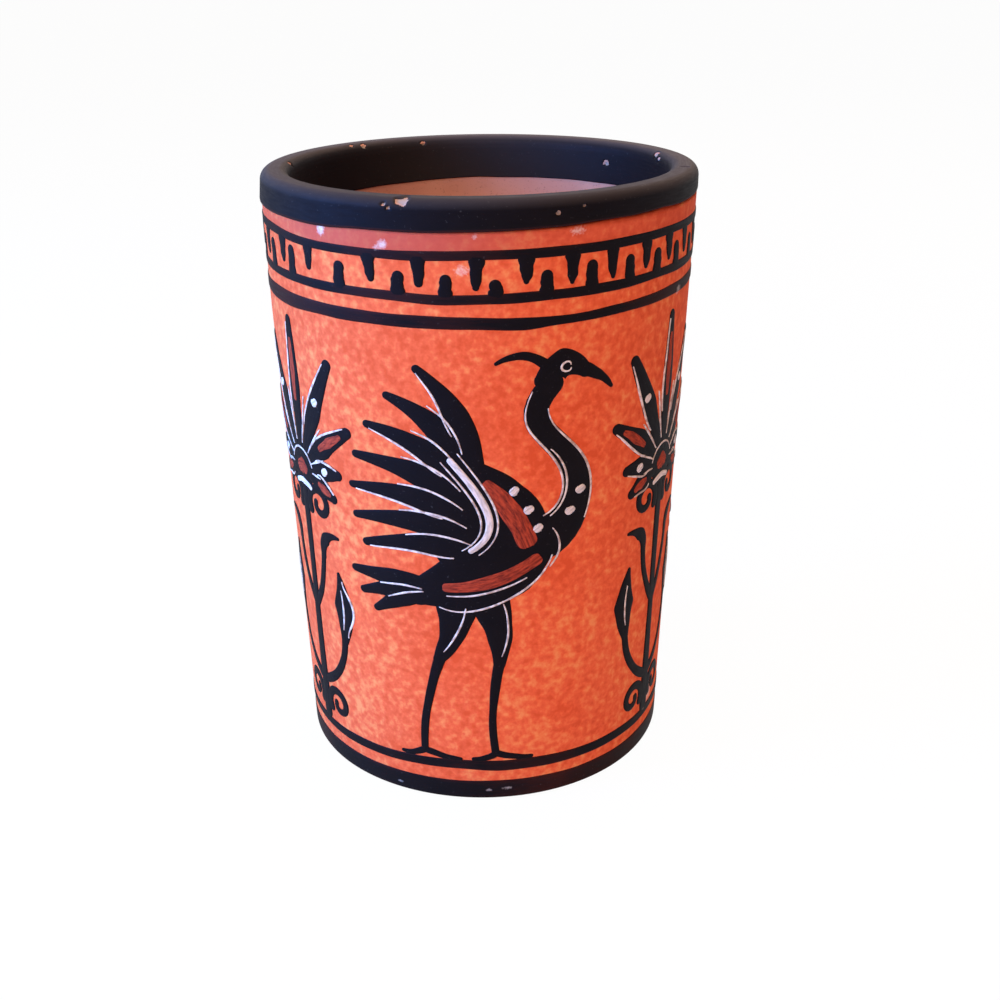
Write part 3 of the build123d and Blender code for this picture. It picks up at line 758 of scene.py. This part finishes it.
def on_grid(points):
    """Grid points as places on the flat drawing, in metres."""
    return np.array(points, dtype=float) * UNIT + np.array([0, ground_line_high])


def between(a, b, share):
    """The point that divides the way from a to b."""
    return (a[0] + (b[0] - a[0]) * share, a[1] + (b[1] - a[1]) * share)


def polar(hub, degrees, reach):
    """The point at that reach from a hub, its angle counted from across to up."""
    return (hub[0] + reach * np.cos(np.radians(degrees)), hub[1] + reach * np.sin(np.radians(degrees)))


def feather_line(share):
    """Centre line of a wing feather, from the lowest at share 0 to the uppermost at share 1."""
    root = between(WING_HUB, (-2, 72), share)
    tip = polar(WING_HUB, 178 - 66 * share, 29 + 16 * share)
    middle = between(root, tip, 0.5)
    return [root, (middle[0] + 1.5, middle[1] + 2.5), tip]


def tail_line(share):
    """Centre line of a tail feather, from the upper one at share 0 to the lower one at share 1."""
    tip = polar(TAIL_HUB, 174 + 34 * share, 17 - 3 * share)
    middle = between(TAIL_HUB, tip, 0.5)
    return [TAIL_HUB, (middle[0], middle[1] + 0.8), tip]


def leg(hip, knee, ankle):
    """A thigh, a thin shin and two toes."""
    thigh, shin = between(hip, knee, 0.5), between(knee, ankle, 0.5)
    return [
        ([hip, (thigh[0] + 1, thigh[1]), knee], [4.6, 3.0, 1.4]),
        ([knee, (shin[0] - 1, shin[1]), ankle], [1.3, 0.9, 0.9]),
        ([ankle, (ankle[0] + 4, 1.4), (ankle[0] + 8, 0.9)], [0.9, 0.8, 0.5]),
        ([ankle, (ankle[0] - 2, 1.4), (ankle[0] - 5, 0.9)], [0.9, 0.8, 0.5]),
    ]


def repeated(drawing, hand, depth, first, unsteady=0.05 * MM):
    """A drawing's strokes, laid again for each pair of figures from a first turn in degrees."""
    turns = np.radians(first + 360 / FIGURE_PAIRS * np.arange(FIGURE_PAIRS))
    return [
        stroke(on_grid(line), np.array(half) * UNIT, hand, depth, turn, unsteady)
        for turn in turns for line, half in drawing
    ]


NECK = ([(12, 56), (19, 63), (18, 73), (12, 81), (14, 90)], [5.5, 3.6, 2.8, 2.5, 2.6])
BODY = ([(14, 57), (8, 52), (-3, 47), (-14, 43)], [3.0, 7.5, 8.0, 3.0])
bird = [
    BODY,
    ([(10, 55), (5, 64), (-2, 71)], [5.0, 6.0, 3.5]),
    ([(8, 54), (0, 56), (-7, 53)], [4.5, 5.5, 3.0]),
    *[(feather_line(i / (WING_FEATHERS - 1)), FEATHER_HALVES) for i in range(WING_FEATHERS)],
    *[(tail_line(share), [2.4, 2.4, 0.9]) for share in (0, 0.5, 1)],
    *leg((1, 42), (3, 26), (2, 2.5)),
    *leg((-6, 41), (-10, 27), (-14, 2.5)),
    NECK,
    ([(12, 91), (17, 94), (21, 92)], [1.6, 3.3, 1.5]),
    ([(20, 92.5), (23.5, 90.8), (26.5, 87.5)], [1.6, 1.1, 0.4]),
    ([(13, 94), (8, 96.5), (3, 95)], [1.1, 0.9, 0.4]),
]
points, way, edge = laid(repeated(bird, np.random.default_rng(31), BLACK_COAT, 0))
birds = shell("Frieze_Birds", points, black, False, brush=way, thin=FIGURE_DRY * edge**8)
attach(birds, "root")
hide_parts("frieze_birds")

# The palmette trees
# Three trees in black slip between the birds: a stem with volutes and buds, crowned with a fan of petals.
# Each petal is one stroke, pressed wide in the middle and lifted off at the tip.

TREE_TURN = 180 / FIGURE_PAIRS
HEART = (0, 64)
PETALS = 9
PETAL_SWEEP = 96.0
PETAL_HALVES = [1.2, 2.7, 1.3]


def petal(index, start, end):
    """Centre line of a petal between two shares of its length, the longest at the top."""
    spread = PETAL_SWEEP * (2 * index / (PETALS - 1) - 1)
    length = 8 + 22 * np.cos(np.radians(spread)) ** 2
    droop = 10 * spread / PETAL_SWEEP
    return [polar(HEART, 90 - spread - droop * share, 4 + length * share)
            for share in (start, (start + end) / 2, end)]


def volute(centre, radius):
    """A spiral that winds in on its centre by a little over one turn."""
    share = np.linspace(0, 1, 9)
    return [polar(centre, 210 - 396 * part, radius * (1 - 0.7 * part)) for part in share]


def mirrored(drawing):
    """The strokes and their mirror images across the upright line u = 0."""
    return drawing + [([(-u, z) for u, z in line], half) for line, half in drawing]


BUD = ([(11, 25), (11.8, 33), (11, 42)], [1.2, 3.4, 0.5])
palmette = [
    ([(0, 1), (0, 30), (0, 60)], [2.0, 1.4, 1.5]),
    ([(-4, 60.5), (0, 61), (4, 60.5)], [1.2, 2.0, 1.2]),
    ([(-2, 64), (0, 64.5), (2, 64)], [3.0, 4.5, 3.0]),
    *mirrored([
        ([(0, 10), (7, 15), (11, 26)], [1.3, 1.1, 1.0]),
        BUD,
        ([(0, 30), (4, 37), (6, 46)], [1.1, 1.0, 0.9]),
        ([(6, 45), (7, 49), (12, 51)], [1.0, 1.6, 0.4]),
        (volute((6, 5.5), 4.2), [1.3, 0.9]),
        (volute((6.2, 57.5), 4.4), [1.2, 0.9]),
    ]),
    *[(petal(i, 0, 1), PETAL_HALVES) for i in range(PETALS)],
]
points, way, edge = laid(repeated(palmette, np.random.default_rng(41), BLACK_COAT, TREE_TURN))
trees = shell("Frieze_Trees", points, black, False, brush=way, thin=FIGURE_DRY * edge**8)
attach(trees, "root")
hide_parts("frieze_trees")

# The red wash
# Dark red slip, thinned with water and brushed over parts of the black once that was dry.
# It lies on the birds' shoulders and bellies, and on every other petal.

RED_DEPTH = 0.19 * MM

# Dark red slip in a thin wash: matt, streaked by the brush, with the black showing through
# where it is thinnest.
red = bare_material("Washed_Red_Slip")
tree = red.node_tree
brush = node(tree, "ShaderNodeAttribute", {}, attribute_name="brush").outputs["Vector"]
streak = node(tree, "ShaderNodeTexNoise", {"Vector": brush, "Scale": 3.0, "Detail": 3.0, "Roughness": 0.65})
washed = node(tree, "ShaderNodeValToRGB", {0: streak.outputs[0]})
stops = washed.color_ramp.elements
stops[0].position, stops[0].color = 0.3, linear("#5A1A12")
stops[1].position, stops[1].color = 0.64, linear("#B43E24")
tooth = node(tree, "ShaderNodeBump", {"Height": streak.outputs[0], "Strength": 0.3, "Distance": 0.05 * MM})
matt_red = node(tree, "ShaderNodeBsdfPrincipled", {
    "Base Color": washed.outputs[0], "Roughness": 0.75, "IOR": 1.5, "Specular IOR Level": 0.1,
    "Normal": tooth.outputs[0],
})
node(tree, "ShaderNodeOutputMaterial", {"Surface": matt_red.outputs[0]})

bird_red = [
    ([(9, 56), (5, 64), (1, 69)], [2.4, 2.6, 1.4]),
    ([(11, 51), (4, 47.5), (-8, 45)], [1.6, 1.8, 1.2]),
]
tree_red = [
    ([(-1.2, 64.5), (0, 64.8), (1.2, 64.5)], [1.6, 2.4, 1.6]),
    *[(petal(i, 0.42, 0.86), [0.7, 1.3, 0.7]) for i in range(0, PETALS, 2)],
]
hand = np.random.default_rng(51)
strokes = repeated(bird_red, hand, RED_DEPTH, 0) + repeated(tree_red, hand, RED_DEPTH, TREE_TURN)
points, way = laid(strokes)[:2]
wash = shell("Red_Wash", points, red, False, brush=way)
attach(wash, "root")
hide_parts("frieze_red_wash")

# The white paint
# Thick white slip, put on last with the tip of the brush as round dabs and short bars.
# It stands a little proud of the black that it lies on.

WHITE_DEPTH = 0.26 * MM
DAB = 0.8 * MM / UNIT

# White slip: chalky and matt, a little pink from the clay, thick in the dabs and streaky in the bars.
white = bare_material("Chalky_White_Slip")
tree = white.node_tree
brush = node(tree, "ShaderNodeAttribute", {}, attribute_name="brush").outputs["Vector"]
streak = node(tree, "ShaderNodeTexNoise", {"Vector": brush, "Scale": 3.2, "Detail": 3.0, "Roughness": 0.6})
chalk = node(tree, "ShaderNodeValToRGB", {0: streak.outputs[0]})
stops = chalk.color_ramp.elements
stops[0].position, stops[0].color = 0.3, linear("#AC9488")
stops[1].position, stops[1].color = 0.62, linear("#E6C8BC")
tooth = node(tree, "ShaderNodeBump", {"Height": streak.outputs[0], "Strength": 0.3, "Distance": 0.06 * MM})
matt_white = node(tree, "ShaderNodeBsdfPrincipled", {
    "Base Color": chalk.outputs[0], "Roughness": 0.7, "IOR": 1.5, "Normal": tooth.outputs[0],
})
node(tree, "ShaderNodeOutputMaterial", {"Surface": matt_white.outputs[0]})


def dabs(centres):
    """Round dabs as very short strokes, each a little longer than it is wide."""
    return [([(u - 0.2, z - 0.15), (u + 0.2, z + 0.15)], [DAB, 0.85 * DAB]) for u, z in centres]


bird_white = [
    *dabs([(11.5, 58.5), (9.5, 63), (6.5, 67.5), (18.2, 61.5), (20.4, 66)]),
    ([(-6.5, 74.5), (-0.8, 66.5), (1.2, 60), (-2.6, 54)], [0.7, 0.9, 0.7]),
]
tree_white = [
    *dabs([petal(i, 0.5, 0.7)[1] for i in range(1, PETALS, 2)]),
    ([(-3.4, 60.6), (0, 61.2), (3.4, 60.6)], [0.6, 0.8, 0.6]),
]
hand = np.random.default_rng(61)
strokes = repeated(bird_white, hand, WHITE_DEPTH, 0) + repeated(tree_white, hand, WHITE_DEPTH, TREE_TURN)
points, way = laid(strokes)[:2]
paint = shell("White_Paint", points, white, False, brush=way)
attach(paint, "root")
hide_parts("frieze_white_paint")

# The scratched lines
# Fine lines cut through the black with a point once it was dry, which left pale clay dust in them.
# They part the feathers and petals, mark the eye and follow the figures' edges.

SCRATCH_DEPTH = 0.215 * MM
SCRATCH_HALF = 0.2 * MM / UNIT
SCRATCH_UNSTEADY = 0.03 * MM

# Pale clay in the bottom of a scratch: chalky and quite dull, patchy where the point skipped.
pale = bare_material("Scratched_Pale_Clay")
tree = pale.node_tree
place = node(tree, "ShaderNodeTexCoord", {}).outputs["Object"]
patch = node(tree, "ShaderNodeTexNoise", {"Vector": place, "Scale": 1 / (1.1 * MM), "Detail": 2.0})
dusted = node(tree, "ShaderNodeValToRGB", {0: patch.outputs[0]})
stops = dusted.color_ramp.elements
stops[0].position, stops[0].color = 0.36, linear("#A98678")
stops[1].position, stops[1].color = 0.6, linear("#E2C6B8")
dusty_line = node(tree, "ShaderNodeBsdfPrincipled", {
    "Base Color": dusted.outputs[0], "Roughness": 0.85, "IOR": 1.5,
})
node(tree, "ShaderNodeOutputMaterial", {"Surface": dusty_line.outputs[0]})


def edge_line(line, half_widths, hand_side, start, end):
    """A line just inside a stroke's edge, between two shares of its length; hand_side is 1 left, -1 right."""
    share = np.linspace(start, end, 5)
    spot, _, square = drawn(line, share)
    half = np.interp(share, np.linspace(0, 1, len(half_widths)), half_widths) - SCRATCH_HALF
    return (spot + hand_side * square * half[:, None]).tolist()


def scratches(lines):
    """Thin strokes along the lines, lighter at both ends."""
    return [(line, [0.6 * SCRATCH_HALF, SCRATCH_HALF, SCRATCH_HALF, 0.5 * SCRATCH_HALF]) for line in lines]


quill_gaps = [feather_line((i + 0.5) / (WING_FEATHERS - 1)) for i in range(WING_FEATHERS - 1)]
tail_gaps = [tail_line(share) for share in (0.25, 0.75)]
bird_lines = [
    *[[between(f[0], f[1], 0.45), f[1], between(f[1], f[2], 0.4)] for f in quill_gaps],
    *[[between(f[0], f[1], 0.3), f[1], between(f[1], f[2], 0.4)] for f in tail_gaps],
    [polar((17, 93.4), turn, 1.0) for turn in (20, 110, 200, 290, 340)],
    [(-5, 76), (1, 67), (3, 60), (-1, 53)],
    [(-8.5, 74), (-2.5, 66), (-0.5, 60), (-4.5, 54)],
    [(9, 47), (1, 44), (-8, 43)],
    [(4, 41), (5, 34), (3.6, 28)],
    [(-4, 40), (-6, 34), (-9, 29)],
    [(14, 61), (17, 65), (17, 71), (14, 76)],
    [(14, 49), (16, 53), (14.5, 58)],
    edge_line(*NECK, 1, 0.1, 0.95),
    edge_line(*NECK, -1, 0.2, 0.9),
    edge_line(*BODY, 1, 0.1, 0.9),
    *[edge_line(feather_line(i / (WING_FEATHERS - 1)), FEATHER_HALVES, 1, 0.35, 0.98)
      for i in range(0, WING_FEATHERS, 2)],
]
tree_lines = [
    *[petal(i + 0.5, 0.1, 0.5) for i in range(PETALS - 1)],
    [polar(HEART, turn, 5.2) for turn in (160, 125, 90, 55, 20)],
    [(11.2, 28), (11.8, 33), (11.4, 38)],
    [(-11.2, 28), (-11.8, 33), (-11.4, 38)],
    *[edge_line(petal(i, 0, 1), PETAL_HALVES, 1, 0.3, 0.98) for i in range(PETALS)],
    edge_line(*BUD, -1, 0.1, 0.9),
]
hand = np.random.default_rng(71)
strokes = repeated(scratches(bird_lines), hand, SCRATCH_DEPTH, 0, SCRATCH_UNSTEADY)
strokes += repeated(scratches(tree_lines), hand, SCRATCH_DEPTH, TREE_TURN, SCRATCH_UNSTEADY)
scratch_piece = shell("Scratched_Lines", laid(strokes)[0], pale, False)
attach(scratch_piece, "root")

# The floor, light and camera
# The beaker stands on a plain white floor in soft window-like light from the left,
# seen from a little above, as a buyer would see it on a table.

FLOOR_REACH = 4.0
FLOOR_DROP = 0.02 * MM
# How much of the floor that the camera sees is plain white, so that the beaker keeps a faint shadow
SEEN_WHITE = 0.97


def shows_background(tree):
    """1 for the rays that show the white background: the camera's, and those from gloss or through glass."""
    ray = node(tree, "ShaderNodeLightPath", {}).outputs
    shiny = node(tree, "ShaderNodeMath", {0: ray["Is Glossy Ray"], 1: ray["Is Transmission Ray"]},
                 operation="MAXIMUM")
    return node(tree, "ShaderNodeMath", {0: ray["Is Camera Ray"], 1: shiny.outputs[0]},
                operation="MAXIMUM").outputs[0]


floor_white = bare_material("White_Paper")
tree = floor_white.node_tree
paper = node(tree, "ShaderNodeBsdfDiffuse", {"Color": linear("#F4F2EF")})
glow = node(tree, "ShaderNodeEmission", {"Color": (1.0, 1.0, 1.0, 1.0), "Strength": 1.0})
share = node(tree, "ShaderNodeMath", {0: shows_background(tree), 1: SEEN_WHITE}, operation="MULTIPLY")
lit = node(tree, "ShaderNodeMixShader", {0: share.outputs[0], 1: paper.outputs[0], 2: glow.outputs[0]})
node(tree, "ShaderNodeOutputMaterial", {"Surface": lit.outputs[0]})
floor_mesh = bpy.data.meshes.new("Paper_Floor")
reach = FLOOR_REACH * np.array([[-1, -1, 0], [1, -1, 0], [1, 1, 0], [-1, 1, 0]]) - [0, 0, FLOOR_DROP]
floor_mesh.from_pydata(reach.tolist(), [], [(0, 1, 2, 3)])
floor_mesh.materials.append(floor_white)
paper_floor = bpy.data.objects.new("Paper_Floor", floor_mesh)
bpy.context.scene.collection.objects.link(paper_floor)

room = bpy.data.worlds.new("Pale_Room")
room.use_nodes = True
tree = room.node_tree
tree.nodes.clear()
dim = node(tree, "ShaderNodeBackground", {"Color": linear("#FFD2B2"), "Strength": 0.2})
bright = node(tree, "ShaderNodeBackground", {"Color": (1.0, 1.0, 1.0, 1.0), "Strength": 1.0})
sky = node(tree, "ShaderNodeMixShader", {0: shows_background(tree), 1: dim.outputs[0], 2: bright.outputs[0]})
node(tree, "ShaderNodeOutputWorld", {"Surface": sky.outputs[0]})
bpy.context.scene.world = room

# Each lamp's place and aim in metres, its side in metres, watts and colour
LAMPS = (
    ("Window", (-0.58, -0.13, 0.23), (0, 0, 0.06), 0.34, 14.0, "#4AA0FF"),
    ("Lamp", (-0.22, -0.61, 0.54), (0, 0, 0.06), 0.45, 3.1, "#FFEEDD"),
    ("Ceiling", (0.0, -0.05, 0.85), (0, 0, 0.10), 0.45, 4.6, "#FFE9D6"),
    ("Room", (0.20, 0.52, 0.62), (0, 0, 0.06), 0.5, 1.8, "#FFE2CC"),
)
for name, spot, aim, size, watts, colour in LAMPS:
    lamp = bpy.data.lights.new(name, "AREA")
    lamp.size, lamp.energy, lamp.color = size, watts, linear(colour)[:3]
    holder = bpy.data.objects.new(name, lamp)
    away = np.array(spot) - np.array(aim)
    across = np.cross([0, 0, 1], away)
    axes = [across / np.linalg.norm(across), np.cross(away, across), away / np.linalg.norm(away)]
    axes[1] = axes[1] / np.linalg.norm(axes[1])
    holder.matrix_world = Matrix.Translation(spot) @ Matrix(np.array(axes).T.tolist()).to_4x4()
    bpy.context.scene.collection.objects.link(holder)

# The camera's distance and height in metres, its tilts in radians, and its focal length in pixels
VIEW_BACK, VIEW_HIGH = 0.2355, 0.1474
PITCH, ROLL, YAW = 0.4129, 0.0105, 0.0139
FOCAL_PIXELS = 1336.7
IMAGE_PIXELS = 1000
ahead = np.array([np.sin(YAW) * np.cos(PITCH), np.cos(YAW) * np.cos(PITCH), -np.sin(PITCH)])
right = np.array([np.cos(YAW), -np.sin(YAW), 0])
up = np.cross(right, ahead)
tilted = [np.cos(ROLL) * right - np.sin(ROLL) * up, np.sin(ROLL) * right + np.cos(ROLL) * up, -ahead]
lens = bpy.data.cameras.new("Buyers_View")
lens.sensor_width = 36
lens.lens = FOCAL_PIXELS / IMAGE_PIXELS * lens.sensor_width
lens.clip_start = 0.01
camera = bpy.data.objects.new("Buyers_View", lens)
stand = Matrix.Translation((0, -VIEW_BACK, VIEW_HIGH))
camera.matrix_world = stand @ Matrix(np.array(tilted).T.tolist()).to_4x4()
bpy.context.scene.collection.objects.link(camera)
bpy.context.scene.camera = camera
bpy.context.scene.view_settings.view_transform = "Standard"
